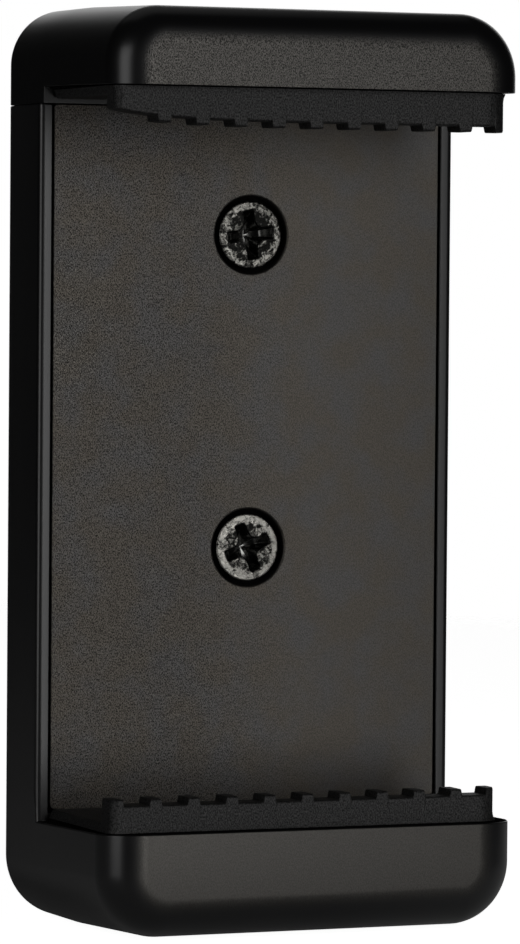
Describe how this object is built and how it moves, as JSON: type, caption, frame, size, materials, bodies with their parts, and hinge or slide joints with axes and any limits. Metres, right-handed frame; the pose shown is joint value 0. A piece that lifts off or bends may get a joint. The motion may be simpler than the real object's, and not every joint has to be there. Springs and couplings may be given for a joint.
{
  "type": "phone holder",
  "caption": "Spring phone holder for a tripod: housing with fixed lower jaw, screwed front plate, sliding upper jaw on springs, ribbed rubber grips and a brass thread below.",
  "frame": {"origin": "under the middle of the holder, at the lowest level of the fixed jaw", "axes": "+Z from the fixed jaw to the sliding jaw, the way the jaw pulls out; -Y is the front, where the phone goes; X across the jaws"},
  "size_m": [0.039, 0.0242, 0.0792],
  "materials": {
    "satin_plastic": "black ABS, satin, faint moulded grain on the jaw fronts",
    "textured_plastic": "black ABS with spark-eroded grain",
    "rubber": "black rubber, dull",
    "black_screw": "blackened steel, worn glossy on the heads",
    "spring_steel": "bright drawn steel",
    "brass": "turned brass"
  },
  "bodies": {
    "holder": {"housing": "satin_plastic", "front_plate": "textured_plastic", "lower_pad": "rubber", "plate_screw_upper": "black_screw", "plate_screw_lower": "black_screw", "spring_rod_lower": "spring_steel", "spring_left": "spring_steel", "spring_right": "spring_steel", "tripod_insert": "brass"},
    "jaw": {"sliding_jaw": "satin_plastic", "upper_pad": "rubber", "spring_rod_upper": "spring_steel"}
  },
  "joints": [
    {"name": "jaw_slide", "type": "slide", "parent": "holder", "child": "jaw", "axis": [0, 0, 1], "range_m": [0, 0.029], "stiffness_N_per_m": 300, "springref_m": -0.03, "deforming": ["spring_left", "spring_right"]}
  ]
}
